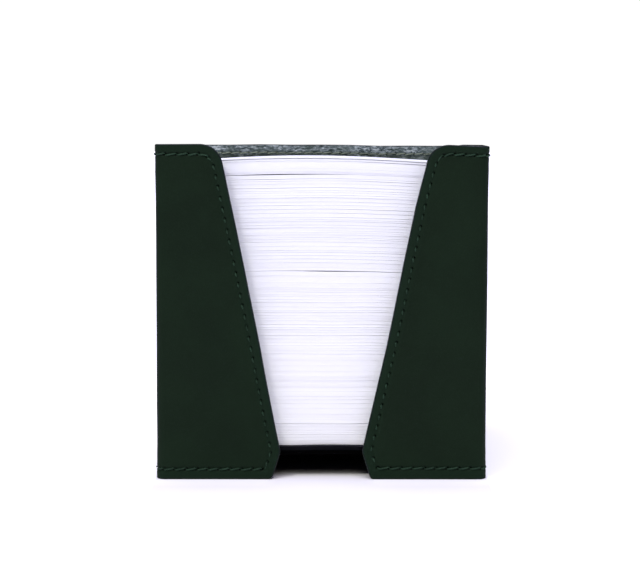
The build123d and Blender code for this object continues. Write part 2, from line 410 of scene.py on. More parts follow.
class Nodes:
    """Short calls for a material's nodes."""

    def __init__(self, nt):
        self.nt, self.new, self.link = nt, nt.nodes.new, nt.links.new

    def coords(self, scale=(1, 1, 1)):
        c = self.new("ShaderNodeTexCoord")
        m = self.new("ShaderNodeMapping")
        m.inputs["Scale"].default_value = scale
        self.link(c.outputs["Object"], m.inputs["Vector"])
        return m.outputs[0]

    def noise(self, vec, scale, detail=4.0, rough=0.55, distort=0.0):
        n = self.new("ShaderNodeTexNoise")
        n.inputs["Scale"].default_value = scale
        n.inputs["Detail"].default_value = detail
        n.inputs["Roughness"].default_value = rough
        n.inputs["Distortion"].default_value = distort
        self.link(vec, n.inputs["Vector"])
        return n.outputs["Fac"]

    def cells(self, vec, scale, feature="F1", smoothness=0.6, random=1.0):
        n = self.new("ShaderNodeTexVoronoi")
        n.feature = feature
        n.inputs["Scale"].default_value = scale
        n.inputs["Randomness"].default_value = random
        if feature == "SMOOTH_F1":
            n.inputs["Smoothness"].default_value = smoothness
        self.link(vec, n.inputs["Vector"])
        return n.outputs["Distance"]

    def ramp(self, fac, stops, interp="LINEAR"):
        r = self.new("ShaderNodeValToRGB")
        r.color_ramp.interpolation = interp
        el = r.color_ramp.elements
        while len(el) < len(stops):
            el.new(0.5)
        for e, (p, c) in zip(el, stops):
            e.position = p
            e.color = (*c, 1) if len(c) == 3 else c
        self.link(fac, r.inputs["Fac"])
        return r.outputs["Color"]

    def math(self, op, a, b=0.5, clamp=False):
        n = self.new("ShaderNodeMath")
        n.operation, n.use_clamp = op, clamp
        for i, v in enumerate((a, b)):
            if isinstance(v, (int, float)):
                n.inputs[i].default_value = v
            else:
                self.link(v, n.inputs[i])
        return n.outputs[0]

    def range(self, v, a, b, c=0.0, d=1.0, kind="SMOOTHSTEP"):
        n = self.new("ShaderNodeMapRange")
        n.interpolation_type = kind
        for k, x in zip(("From Min", "From Max", "To Min", "To Max"), (a, b, c, d)):
            n.inputs[k].default_value = x
        self.link(v, n.inputs["Value"])
        return n.outputs["Result"]

    def mix(self, fac, a, b, blend="MIX"):
        n = self.new("ShaderNodeMix")
        n.data_type, n.blend_type = "RGBA", blend
        for sock, v in (("Factor", fac), ("A", a), ("B", b)):
            s = [i for i in n.inputs if i.name == sock and (i.type == "RGBA" or sock == "Factor" and i.type == "VALUE")][0]
            if isinstance(v, (int, float)):
                s.default_value = v
            elif isinstance(v, tuple):
                s.default_value = (*v, 1)
            else:
                self.link(v, s)
        return [o for o in n.outputs if o.type == "RGBA"][0]

    def attr(self, name):
        n = self.new("ShaderNodeAttribute")
        n.attribute_name = name
        return n.outputs["Fac"]

    def bump(self, height, strength, distance, normal=None):
        n = self.new("ShaderNodeBump")
        n.inputs["Strength"].default_value = strength
        n.inputs["Distance"].default_value = distance
        self.link(height, n.inputs["Height"])
        if normal is not None:
            self.link(normal, n.inputs["Normal"])
        return n.outputs["Normal"]


LEATHER = (0.0057, 0.0139, 0.0067)
LEATHER_RIM = (0.0062, 0.0157, 0.0080)


def leather(name, base=LEATHER, border=LEATHER_RIM, seamed=True, spec=0.06, rough=0.62):
    m, nt, p = tree_for(name)
    n = Nodes(nt)
    v = n.coords()
    warp = n.new("ShaderNodeVectorMath")
    warp.operation = "MULTIPLY_ADD"
    wn = n.new("ShaderNodeTexNoise")
    wn.inputs["Scale"].default_value = 900
    n.link(v, wn.inputs["Vector"])
    n.link(wn.outputs["Color"], warp.inputs[0])
    warp.inputs[1].default_value = (0.0005, 0.0005, 0.0005)
    n.link(v, warp.inputs[2])
    grain = n.cells(warp.outputs[0], 1650, "SMOOTH_F1", 0.35)
    grain = n.range(grain, 0.0, 0.62, 1.0, 0.0)
    fine = n.noise(v, 7000, 3.0, 0.6)
    pores = n.cells(v, 900, "F1")
    pores = n.range(pores, 0.05, 0.16, 1.0, 0.0)
    mottle = n.noise(v, 55, 5.0, 0.6)
    cloud = n.noise(v, 14, 2.0, 0.5)
    col = n.mix(n.range(mottle, 0.3, 0.75), tuple(c * 0.86 for c in base), tuple(c * 1.16 for c in base))
    col = n.mix(n.range(cloud, 0.35, 0.7, 0.0, 0.35), col, (base[0] * 1.1, base[1] * 0.95, base[2] * 1.0))
    if seamed:
        outer = n.range(n.attr("seam"), -1.6, 0.3)
        col = n.mix(outer, col, border)
        lip = n.range(n.attr("edge"), 0.0, 0.9, 1.0, 0.0)
        rub = n.math("MULTIPLY", lip, n.range(n.noise(v, 260, 5.0, 0.65), 0.44, 0.62))
        col = n.mix(n.math("MULTIPLY", rub, 0.40), col, tuple(c * 2.2 + 0.004 for c in base))
        col = n.mix(n.range(n.attr("edge"), 0.25, 0.70, 0.8, 0.0), col, (0.0058, 0.0122, 0.0108))     # the edge paint laps over
        # painted shade: the leather is darker in the seam's groove
        groove_shade = n.math("ABSOLUTE", n.attr("seam"))
        groove_shade = n.range(groove_shade, 0.1, 0.65, 0.15, 0.0)
        col = n.mix(groove_shade, col, tuple(c * 0.55 for c in base))
        # painted shade: the leather is much darker in and round the needle holes
        col = n.mix(n.math("MULTIPLY", n.attr("hole"), 0.9), col, tuple(c * 0.12 for c in base))
    col = n.mix(n.math("MULTIPLY", grain, 0.16), col, tuple(min(1, c * 1.5) for c in base))
    if seamed:                                  # painted light: lighter towards the foot and darker towards the rim, to even out the light from above
        up = n.new("ShaderNodeSeparateXYZ")
        n.link(v, up.inputs[0])
        shade = n.ramp(n.math("MULTIPLY", up.outputs["Z"], 9.8), [(0.0, (1.07,) * 3), (0.5, (0.940,) * 3), (1.0, (0.870,) * 3)])
        col = n.mix(1.0, col, shade, "MULTIPLY")
    n.link(col, p.inputs["Base Color"])
    r = n.range(mottle, 0.3, 0.75, rough - 0.05, rough + 0.05, "LINEAR")
    r = n.math("ADD", r, n.math("MULTIPLY", grain, -0.06))
    n.link(r, p.inputs["Roughness"])
    p.inputs["Specular IOR Level"].default_value = spec
    if seamed:
        p.inputs["Sheen Weight"].default_value = 0.08
        p.inputs["Sheen Roughness"].default_value = 0.25
    h = n.math("ADD", grain, n.math("MULTIPLY", fine, 0.35))
    h = n.math("SUBTRACT", h, n.math("MULTIPLY", pores, 0.5))
    b = n.bump(h, 0.34, 0.00007)
    b = n.bump(mottle, 0.10, 0.0004, b)
    n.link(b, p.inputs["Normal"])
    return m


def painted_edge(name, dark=(0.0018, 0.0036, 0.0030), light=(0.0075, 0.0125, 0.0105), spec=0.3):
    m, nt, p = tree_for(name)
    n = Nodes(nt)
    v = n.coords()
    streak = n.noise(n.coords((1, 1, 1)), 420, 5.0, 0.6)
    fibre = n.noise(v, 2600, 4.0, 0.65)
    col = n.mix(n.range(streak, 0.35, 0.7), dark, light)
    n.link(col, p.inputs["Base Color"])
    n.link(n.range(fibre, 0.3, 0.7, 0.42, 0.62, "LINEAR"), p.inputs["Roughness"])
    p.inputs["Specular IOR Level"].default_value = spec
    b = n.bump(fibre, 0.35, 0.00008)
    b = n.bump(streak, 0.3, 0.0002, b)
    n.link(b, p.inputs["Normal"])
    return m


def flesh_side(name):
    """The rough side of the lining: short matted fibres, grey with a green cast, streaked along the wall."""
    m, nt, p = tree_for(name)
    n = Nodes(nt)
    v = n.coords()
    streak_v = n.coords((1.0, 1.0, 2.6))
    streak = n.noise(streak_v, 540, 6.0, 0.68, 0.6)
    patch = n.noise(v, 120, 4.0, 0.6)
    fibre = n.noise(v, 3600, 5.0, 0.7, 1.2)
    nap = n.noise(streak_v, 1500, 4.0, 0.7, 0.8)
    col = n.ramp(streak, [(0.38, (0.014, 0.022, 0.022)), (0.46, (0.106, 0.137, 0.143)), (0.53, (0.266, 0.310, 0.330)),
                          (0.61, (0.59, 0.65, 0.665))])
    col = n.mix(n.range(patch, 0.42, 0.62, 0.0, 0.6), col, (0.066, 0.096, 0.080))
    col = n.mix(n.range(nap, 0.42, 0.62, 0.0, 0.55), col, (0.038, 0.053, 0.051))
    # painted shade: the lining is darker and greener along the seam's groove
    near = n.range(n.math("ABSOLUTE", n.attr("seam")), 0.3, 1.3, 0.20, 0.0)
    col = n.mix(near, col, (0.044, 0.068, 0.054))
    col = n.mix(n.range(n.attr("seam"), -0.75, -0.25, 0.58, 0.0), col, (0.026, 0.037, 0.030))     # painted shade: the lining is darker below the seam, just above the cards
    # painted shade: the lining is near black in the needle holes
    col = n.mix(n.math("MULTIPLY", n.attr("hole"), 0.9), col, (0.004, 0.006, 0.004))
    n.link(col, p.inputs["Base Color"])
    n.link(n.range(fibre, 0.3, 0.7, 0.82, 0.98, "LINEAR"), p.inputs["Roughness"])
    p.inputs["Specular IOR Level"].default_value = 0.12
    p.inputs["Sheen Weight"].default_value = 0.25
    p.inputs["Sheen Roughness"].default_value = 0.5
    h = n.math("ADD", n.math("MULTIPLY", streak, 1.0), n.math("MULTIPLY", nap, 0.7))
    h = n.math("ADD", h, n.math("MULTIPLY", fibre, 0.5))
    b = n.bump(h, 0.75, 0.00022)
    n.link(b, p.inputs["Normal"])
    return m


def thread_mat(name, dark, light, spec=0.35):
    m, nt, p = tree_for(name)
    n = Nodes(nt)
    v = n.coords()
    fuzz = n.noise(v, 5200, 4.0, 0.7, 0.8)
    tone = n.noise(v, 340, 3.0, 0.6)
    col = n.mix(n.range(fuzz, 0.3, 0.7), dark, light)
    col = n.mix(n.range(tone, 0.4, 0.7, 0.0, 0.5), col, tuple(c * 0.55 for c in dark))
    n.link(col, p.inputs["Base Color"])
    n.link(n.range(fuzz, 0.3, 0.7, 0.42, 0.66, "LINEAR"), p.inputs["Roughness"])
    p.inputs["Specular IOR Level"].default_value = spec
    b = n.bump(fuzz, 0.6, 0.00006)
    n.link(b, p.inputs["Normal"])
    return m


def paper_mat(name):
    m, nt, p = tree_for(name)
    n = Nodes(nt)
    v = n.coords()
    tone = n.noise(n.coords((0.15, 0.15, 1.0)), 1400, 4.0, 0.7)
    fibre = n.noise(v, 4200, 5.0, 0.65)
    wide = n.noise(n.coords((0.4, 0.4, 1.0)), 60, 3.0, 0.5)
    col = n.mix(n.range(tone, 0.35, 0.65), (0.860, 0.868, 0.920), (0.828, 0.834, 0.893))
    col = n.mix(n.range(wide, 0.4, 0.65, 0.0, 0.5), col, (0.858, 0.856, 0.903))
    up = n.new("ShaderNodeSeparateXYZ")         # painted light: the lower cards are lighter, against the shade of the flaps and the floor's lip, and the upper ones greyer, against the light from above
    n.link(v, up.inputs[0])
    col = n.mix(n.range(up.outputs["Z"], 0.010, 0.060, 1.0, 0.0, "LINEAR"), col, (0.952, 0.953, 0.985))
    col = n.mix(n.range(up.outputs["Z"], 0.055, 0.098, 0.0, 0.6, "LINEAR"), col, (0.805, 0.812, 0.880))
    n.link(col, p.inputs["Base Color"])
    n.link(n.range(fibre, 0.3, 0.7, 0.86, 0.96, "LINEAR"), p.inputs["Roughness"])
    p.inputs["Specular IOR Level"].default_value = 0.2
    b = n.bump(fibre, 0.15, 0.00003)
    n.link(b, p.inputs["Normal"])
    return m


def board_mat(name):
    m, nt, p = tree_for(name)
    n = Nodes(nt)
    v = n.coords()
    ply = n.noise(n.coords((1, 1, 6)), 500, 4.0, 0.6)
    fleck = n.cells(n.coords((1.0, 1.0, 1.6)), 1100, "F1")
    col = n.mix(n.range(ply, 0.35, 0.65), (0.30, 0.275, 0.235), (0.40, 0.375, 0.33))
    col = n.mix(n.range(fleck, 0.06, 0.14, 0.5, 0.0), col, (0.12, 0.11, 0.10))
    n.link(col, p.inputs["Base Color"])
    n.link(n.range(ply, 0.3, 0.7, 0.85, 0.95, "LINEAR"), p.inputs["Roughness"])
    n.link(n.bump(n.math("ADD", ply, fleck), 0.3, 0.0001), p.inputs["Normal"])
    return m


MAT = {
    "leather": leather("leather_green"),
    "edge": painted_edge("leather_edge_paint"),
    "flesh": flesh_side("leather_flesh_side"),
    "floor": leather("leather_floor", (0.0080, 0.0080, 0.0125), seamed=False, spec=0.06),
    # painted shade: the underside is near black and almost without gloss, so that the recess under the floor stays
    # dark
    "under": leather("leather_underside", (0.0011, 0.0013, 0.0013), seamed=False, spec=0.008, rough=0.85),
    "floor_edge": painted_edge("floor_edge_paint", (0.0014, 0.0014, 0.0026), (0.0034, 0.0034, 0.0056), 0.05),
    "thread": thread_mat("thread_green", (0.0095, 0.0260, 0.0145), (0.027, 0.061, 0.036), 0.12),
    "thread_in": thread_mat("thread_green_inside", (0.078, 0.098, 0.072), (0.42, 0.485, 0.37), 0.15),
    "paper": paper_mat("paper_white"),
    "board": board_mat("grey_board"),
}


# ---------------------------------------------------------------- the two leathers of the wall
def sheet_solid(name, loop, front_pts, back_pts, v0, h0, relief, back_relief, radius, mats):
    """A closed sheet: the seen side at v0 with its relief, the hidden side at h0, and a rounded edge between them."""
    sg = 1.0 if v0 > h0 else -1.0
    rings = [(radius * (1 - math.sin(w)), -sg * radius * (1 - math.cos(w)))
             for w in np.linspace(0, math.pi / 2, 6)]
    rings = [(d, v0 + o) for d, o in rings] + [(0.0, h0 + sg * 0.12), (0.12, h0)]
    loops = [loop_in(loop, d) for d, _ in rings]
    n = len(loop)
    p1, t1 = triangles(loops[0], front_pts)
    p2, t2 = triangles(loops[-1], back_pts)
    rel, seam_d = relief(p1)
    co = [wrap(p1[:, 0], p1[:, 1], v0 + rel)[0]]
    at_seam, at_edge = [seam_d], [edge_distance(p1, tree_of(loop))]
    at_hole = np.zeros(len(p1))
    close = np.abs(seam_d) < 2
    at_hole[close] = 1 - smooth(hole_shape(p1[close]), 0.6, 1.6)
    base = len(p1)
    starts = [0]
    for k in range(1, len(rings) - 1):
        q = loops[k]
        fade = 1 - k / (len(rings) - 1)
        co.append(wrap(q[:, 0], q[:, 1], rings[k][1] + rel[:n] * fade)[0])
        at_seam.append(seam_d[:n])
        at_edge.append(np.full(n, rings[k][0]))
        starts.append(base)
        base += n
    starts.append(base)
    co.append(wrap(p2[:, 0], p2[:, 1], h0 + back_relief(p2))[0])
    at_seam.append(np.full(len(p2), 3.0))
    at_edge.append(np.zeros(len(p2)))
    faces = [*t1.tolist()]
    kind = [0] * len(t1)
    i = np.arange(n)
    j = (i + 1) % n
    for k in range(len(starts) - 1):
        a, b = starts[k], starts[k + 1]
        faces += np.stack([a + i, b + i, b + j, a + j], -1).tolist()
        kind += [1 if k >= 2 else 0] * n
    faces += (t2[:, ::-1] + base).tolist()
    kind += [1] * len(t2)
    if sg > 0:
        faces = [f[::-1] for f in faces]
    return make_mesh(name, np.vstack(co), faces, {"seam": np.concatenate(at_seam), "edge": np.concatenate(at_edge),
                                             "hole": np.r_[at_hole, np.zeros(base + len(p2) - len(p1))]},
                     mats, kind)


OUTLINE = hand_cut(fillets(POLY, RADII, 0.45))
ROWS = (-2.3, -1.6, -1.15, -0.82, -0.55, -0.36, -0.18, 0, 0.18, 0.36, 0.55, 0.82, 1.15, 1.6, 2.1)


def pad(q):
    """0 at the border to 1 over a board, in the unrolled wall."""
    u, z = q[:, 0], q[:, 1]
    a = np.abs(u)
    b_half = HALF - 5.5

    def box_sd(c):
        dx, dz = np.abs(a - c) - b_half, np.abs(z - (13.0 + PAD_TOP) / 2) - (PAD_TOP - 13.0) / 2
        return np.hypot(np.maximum(dx, 0), np.maximum(dz, 0)) + np.minimum(np.maximum(dx, dz), 0)

    sd = np.minimum(box_sd(0), box_sd(2 * FLAT + ARC))
    for side, top, knee in ((-1, 30.8, 12.3), (1, 32.4, 12.3)):
        x = UF - a
        lean = (top - knee) / (H - KNEE_Z)
        edge = knee + (z - KNEE_Z) * lean
        d = np.maximum.reduce([(edge - x) / math.hypot(1, lean) + 6.5, x - b_half, 13.0 - z, z - PAD_TOP])
        sd = np.where((np.sign(u) == side) & (a > U_FLAP - 6), d, sd)
    return 1 - smooth(sd, 0.4, 1.8)


def outer_relief(q):
    ds, _ = seam_distance(q)
    e = hole_shape(q)
    r = -0.17 * np.exp(-(ds / 0.55) ** 2)
    r -= 0.70 * (1 - smooth(e, 0.35, 1.45))
    r += 0.035 * np.exp(-((np.abs(ds) - 1.25) / 0.5) ** 2)
    r += 0.10 * smooth(-ds, 1.6, 5.0)
    r += 0.035 * noise2(q[:, 0], q[:, 1], 26, 3) + 0.012 * noise2(q[:, 0], q[:, 1], 6, 5)
    return r, ds


def lining_relief(q):
    ds, _ = seam_distance(q)
    e = hole_shape(q)
    r = -0.13 * np.exp(-(ds / 0.5) ** 2) - 0.45 * (1 - smooth(e, 0.15, 1.3))
    r += pad(q) * 1.0
    r += 0.06 * noise2(q[:, 0], q[:, 1] * 2, 2.2, 8, 2) * smooth(np.abs(ds), 0.3, 1.0) + 0.04 * noise2(q[:, 0], q[:, 1], 14, 9)
    return -r, ds


front_pts = np.vstack([detail_points(loop_in(OUTLINE, 0.42), ROWS, 0.3),
                       grid_points(2.0, 2.0, OUTLINE, 5.6)])
back_pts = grid_points(3.0, 3.0, OUTLINE, 1.5)
outer = sheet_solid("wall_outer_leather", OUTLINE, front_pts, back_pts, 0.0, -T_OUT, outer_relief,
                    lambda q: np.zeros(len(q)), 0.42, (MAT["leather"], MAT["edge"]))
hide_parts("outer_leather")
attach(outer, "holder")

# the lining's edge is pared back a little, unevenly
t_len = np.r_[0, np.cumsum(np.linalg.norm(np.diff(OUTLINE, axis=0), axis=1))]
pare = np.clip(0.20 + 0.13 * noise2(t_len, 0 * t_len, 9, 4, 2), 0.05, 0.36) * smooth(OUTLINE[:, 1], 0.0, 4.0)
normal_in = loop_in(OUTLINE, 1.0) - OUTLINE
LINING_LOOP = OUTLINE + normal_in * pare[:, None]
lin_pts = np.vstack([detail_points(loop_in(LINING_LOOP, 0.3), ROWS, 0.3),
                     grid_points(1.6, 1.6, OUTLINE, 5.6)])
lining = sheet_solid("wall_lining_leather", LINING_LOOP, lin_pts, back_pts, -(T_OUT + T_LIN), -(T_OUT + 0.02),
                     lining_relief, lambda q: -pad(q) * 0.98, 0.3, (MAT["flesh"], MAT["edge"]))
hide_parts("lining_leather")
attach(lining, "holder")
print("wall meshes", len(outer.data.polygons), len(lining.data.polygons))


# ---------------------------------------------------------------- seam threads, three twisted strands a stitch
def strands(centre, out, radius, twist, phase, rings, sides):
    """Three strands twisted round a centre line, as verts and faces. out is the surface's normal at each ring."""
    t = np.gradient(centre, axis=0)
    t /= np.linalg.norm(t, axis=1, keepdims=True)
    n = out - (out * t).sum(1, keepdims=True) * t
    n /= np.linalg.norm(n, axis=1, keepdims=True)
    b = np.cross(t, n)
    length = np.r_[0, np.cumsum(np.linalg.norm(np.diff(centre, axis=0), axis=1))]
    verts, faces = [], []
    for k in range(3):
        w = 2 * math.pi * (length / twist) + phase + 2 * math.pi * k / 3
        c = centre + radius * 1.08 * (np.cos(w)[:, None] * n + 0.92 * np.sin(w)[:, None] * b)
        base = sum(len(v) for v in verts)
        ring = []
        for j in range(sides):
            a = 2 * math.pi * j / sides
            ring.append(c + radius * (math.cos(a) * n + math.sin(a) * b))
        v = np.stack(ring, 1).reshape(-1, 3)
        verts.append(v)
        for i in range(rings - 1):
            for j in range(sides):
                p, q = base + i * sides + j, base + i * sides + (j + 1) % sides
                faces.append((p, q, q + sides, p + sides))
        faces.append(tuple(base + j for j in range(sides))[::-1])
        faces.append(tuple(base + (rings - 1) * sides + j for j in range(sides)))
    return np.vstack(verts), faces


def inner_depth(p):
    """How deep the inside surface is at a hole: on the floor's flange, or on the lining."""
    u, z = p
    a = abs(u)
    local = min(abs(a), abs(a - (2 * FLAT + ARC)))
    on_flap = a > U_FLAP
    on = local < 44.3 if not on_flap else (UF - a) < 44.3
    return 3.6 if (z < 8.6 and on) else 2.4


def stitches(name, side, mat, nodes, radius=0.145, lean=0.24):
    verts, faces, base = [], [], 0
    rings, sides = 13, 6
    t = np.linspace(0, 1, rings)
    dive = 1 - np.abs(2 * t - 1) ** 3.0
    for i in range(len(holes)):
        s0 = holes[i]
        s1 = s0 + (holes[(i + 1) % len(holes)] - s0) % seam.length
        s = s0 + (s1 - s0) * t
        p, _, nrm = seam.frame(s)
        lat = (np.interp(t, [0, 0.12, 0.88, 1], [-lean * 0.8, -lean, lean, lean * 0.8]) + 0.03 * rng.normal()) * (1 if side > 0 else -1)
        q = p + nrm * lat[:, None]
        lift = 0.09 + 0.03 * rng.normal()
        run = p[-1] - p[0]
        steep = smooth(abs(run[1]) / np.linalg.norm(run), 0.5, 0.9)
        if side > 0:      # a steep stitch stands proud just under its upper hole and lies in its groove below
            down = t if run[1] < 0 else 1 - t
            off = -0.66 + (0.66 + lift) * dive - steep * (0.56 * smooth(down, 0.20, 0.46) + 0.30 * smooth(down, 0.76, 0.93))
            c, n = wrap(q[:, 0], q[:, 1], off)
        else:
            d0, d1 = inner_depth(p[0]), inner_depth(p[-1])
            if d0 != d1 and min(p[0][1], p[-1][1]) > 4.5:
                continue          # this one passes through the raised floor
            if abs(p[0][1] - p[-1][1]) > 1 and min(p[0][1], p[-1][1]) < 8.9 < max(p[0][1], p[-1][1]):
                continue
            (a, b), (na, nb) = wrap(q[[0, -1], 0], q[[0, -1], 1], [-d0, -d1])
            c = a + (b - a) * t[:, None]
            n = -(na + (nb - na) * t[:, None])
            c = c + n * (-0.5 + (0.5 + lift) * dive)[:, None]
        v, f = strands(c, n, radius, 1.9, rng.uniform(0, 6.28), rings, sides)
        verts.append(v)
        faces += [tuple(x + base for x in g) for g in f]
        base += len(v)
    ob = make_mesh(name, np.vstack(verts), faces, mats=(mat,))
    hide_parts(*nodes)
    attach(ob, "holder")
    return ob


stitches("seam_stitches_outside", 1, MAT["thread"], ["needle_thread"])
stitches("seam_stitches_inside", -1, MAT["thread_in"], ["bobbin_thread"], radius=0.125, lean=0.26)


# ---------------------------------------------------------------- raised floor
def solid_from(ob, thickness, offset, bevel):
    sol = ob.modifiers.new("thickness", "SOLIDIFY")
    sol.thickness, sol.offset, sol.use_even_offset = thickness * MM, offset, False
    sol.material_offset_rim = len(ob.data.materials) - 1
    if bevel:
        bev = ob.modifiers.new("soft_edge", "BEVEL")
        bev.width, bev.segments, bev.limit_method, bev.angle_limit = bevel * MM, 3, "ANGLE", math.radians(50)
        bev.harden_normals = False
    return ob


def sag(x, y):
    """The floor's front edge bends down a little under the cards."""
    side = np.interp(x, [-44, -30, -9.6, 0, 6, 12, 30, 44], [0.0, -0.40, -0.47, -0.28, -0.25, -0.40, -0.34, 0.0])
    return side * np.interp(y, [-45, -39, 45], [1.0, 0.25, 0.0])


def floor_mesh():
    """One leather: the panel and its turned-down flanges, as the upper and outer surface."""
    R, F, E, TOP, WIN = 1.5, 47.55, 44.6, FLOOR_TOP, 13.0
    P = F - R
    verts, faces, index = [], [], {}

    def quad(*cs):
        f = []
        for c in cs:
            k = tuple(round(float(x), 4) for x in c)
            if k not in index:
                index[k] = len(verts)
                verts.append(k)
            f.append(index[k])
        if len(set(f)) == 4:
            faces.append(f)

    xs = np.unique(np.round(np.r_[np.linspace(-P, -WIN, 18), np.linspace(-WIN, WIN, 15), np.linspace(WIN, P, 18), -E, E], 4))
    ys = np.unique(np.round(np.r_[-P, -E, np.linspace(-42, 42, 43), E, P, -45, -39], 4))

    def level(x, y):
        return TOP - 0.03 + 0.03 * float(noise2(x + 60, y + 60, 21, 2, 2)) + float(sag(x, y))

    for i in range(len(xs) - 1):
        for j in range(len(ys) - 1):
            x0, x1, y0, y1 = xs[i], xs[i + 1], ys[j], ys[j + 1]
            quad((x0, y0, level(x0, y0)), (x1, y0, level(x1, y0)), (x1, y1, level(x1, y1)), (x0, y1, level(x0, y1)))
    bend = [(R * math.sin(w), R * (math.cos(w) - 1)) for w in np.linspace(0, math.pi / 2, 7)]
    drop = [(R, -R - d) for d in np.linspace(0, TOP - R - 0.1, 8)[1:]]
    prof = bend + drop
    turn = {"back": lambda a, o, z: (a, P + o, z), "front": lambda a, o, z: (a, -P - o, z),
            "left": lambda a, o, z: (-P - o, a, z), "right": lambda a, o, z: (P + o, a, z)}
    for side, put in turn.items():
        along = xs if side in ("back", "front") else ys
        for i in range(len(along) - 1):
            mid = abs(along[i] + along[i + 1]) / 2
            if side == "front" and mid < WIN:
                (a0, a1), y1 = along[i:i + 2], -(F - 0.7)
                quad((a0, -P, level(a0, -P)), (a0, y1, level(a0, -P) - 0.08), (a1, y1, level(a1, -P) - 0.08), (a1, -P, level(a1, -P)))
                continue
            rows = bend[:4] if mid > E else prof
            for k in range(len(rows) - 1):
                c = []
                for a, r in ((along[i], k), (along[i], k + 1), (along[i + 1], k + 1), (along[i + 1], k)):
                    o, z = rows[r]
                    edge = {"back": (a, P), "front": (a, -P), "left": (-P, a), "right": (P, a)}[side]
                    z = max((level(*edge) if r < 7 else TOP + sag(*edge) * (1 - (r - 6) / 7)) + z, 0.08)
                    if side == "front" and mid < E:       # the flange's end follows the flap's foot
                        a = a + math.copysign(max(0, 7.6 - z) * 0.30 * max(0, 1 - (abs(a) - WIN) / 16), a)
                    c.append(put(a, o, z))
                quad(*c)
    return make_mesh("floor_panel_leather", verts, faces, mats=(MAT["floor"], MAT["floor_edge"]))


floor_leather = solid_from(floor_mesh(), 1.2, -1, 0.22)


def recalc(ob, up=None):
    import bmesh
    bm = bmesh.new()
    bm.from_mesh(ob.data)
    bmesh.ops.recalc_face_normals(bm, faces=bm.faces)
    if up is not None:
        f = max(bm.faces, key=lambda f: f.calc_center_median().z) if up else min(bm.faces, key=lambda f: f.calc_center_median().z)
        if (f.normal.z > 0) != up:
            bmesh.ops.reverse_faces(bm, faces=bm.faces)
    bm.to_mesh(ob.data)
    bm.free()


recalc(floor_leather, True)
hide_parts("floor_leather")
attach(floor_leather, "holder")


def underside_mesh():
    s = np.unique(np.round(np.r_[np.linspace(-45.5, 45.5, 40), np.linspace(42.6, 45.3, 9), -np.linspace(42.6, 45.3, 9)], 4))
    x, y = np.meshgrid(s, s)
    sd = np.maximum(np.abs(x), np.abs(y)) - 43.0
    dx, dy = np.abs(x) - 41.0, np.abs(y) - 41.0
    sd = np.hypot(np.maximum(dx, 0), np.maximum(dy, 0)) + np.minimum(np.maximum(dx, dy), 0) - 2.0
    z = 8.08 - 1.4 * (1 - smooth(sd, 0.4, 1.8)) - 0.03 * noise2(x + 90, y + 90, 18, 6, 2) + sag(x, y)
    n = len(s)
    i = np.arange(n * n).reshape(n, n)
    f = np.stack([i[:-1, :-1], i[1:, :-1], i[1:, 1:], i[:-1, 1:]], -1).reshape(-1, 4)
    return make_mesh("floor_underside", np.stack([x, y, z], -1).reshape(-1, 3), f, mats=(MAT["under"],))


under = solid_from(underside_mesh(), 0.78, -1, 0.15)
recalc(under, False)
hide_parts("floor_underside_leather")
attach(under, "holder")

for name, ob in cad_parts.items():
    if name.startswith("board_") or name == "floor_board":
        ob.data.materials.clear()
        ob.data.materials.append(MAT["board"])


# ---------------------------------------------------------------- the note cards, sheet by sheet
CARD = 45.0
X_CUT = np.linspace(-CARD, CARD, 21)
Y_CUT = (-CARD, -39.0, CARD)
Z0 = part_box("cards_lower")[0].z / MM
packets = [("cards_lower", "note_cards_lower"), ("cards_middle", "note_cards_middle"),
           ("cards_upper", "note_cards_upper"), ("cards_top", "note_cards_top")]
SEAT = {  # how far a packet's top is under the next packet, at some places across
    "cards_lower": ([-45, -20, -12, -5, 0, 4, 8, 14, 24, 45], [0.03, 0.045, 0.06, 0.16, 0.29, 0.29, 0.21, 0.15, 0.10, 0.05]),
    "cards_middle": ([-45, -30, -24, -16, -8, 0, 6, 10, 45], [0.05, 0.08, 0.16, 0.29, 0.26, 0.15, 0.07, 0.02, 0.012]),
    "cards_upper": ([-45, -30, 0, 30, 45], [0.05, 0.10, 0.13, 0.10, 0.05]),
    "cards_top": ([-45, 45], [0.27, 0.27])}
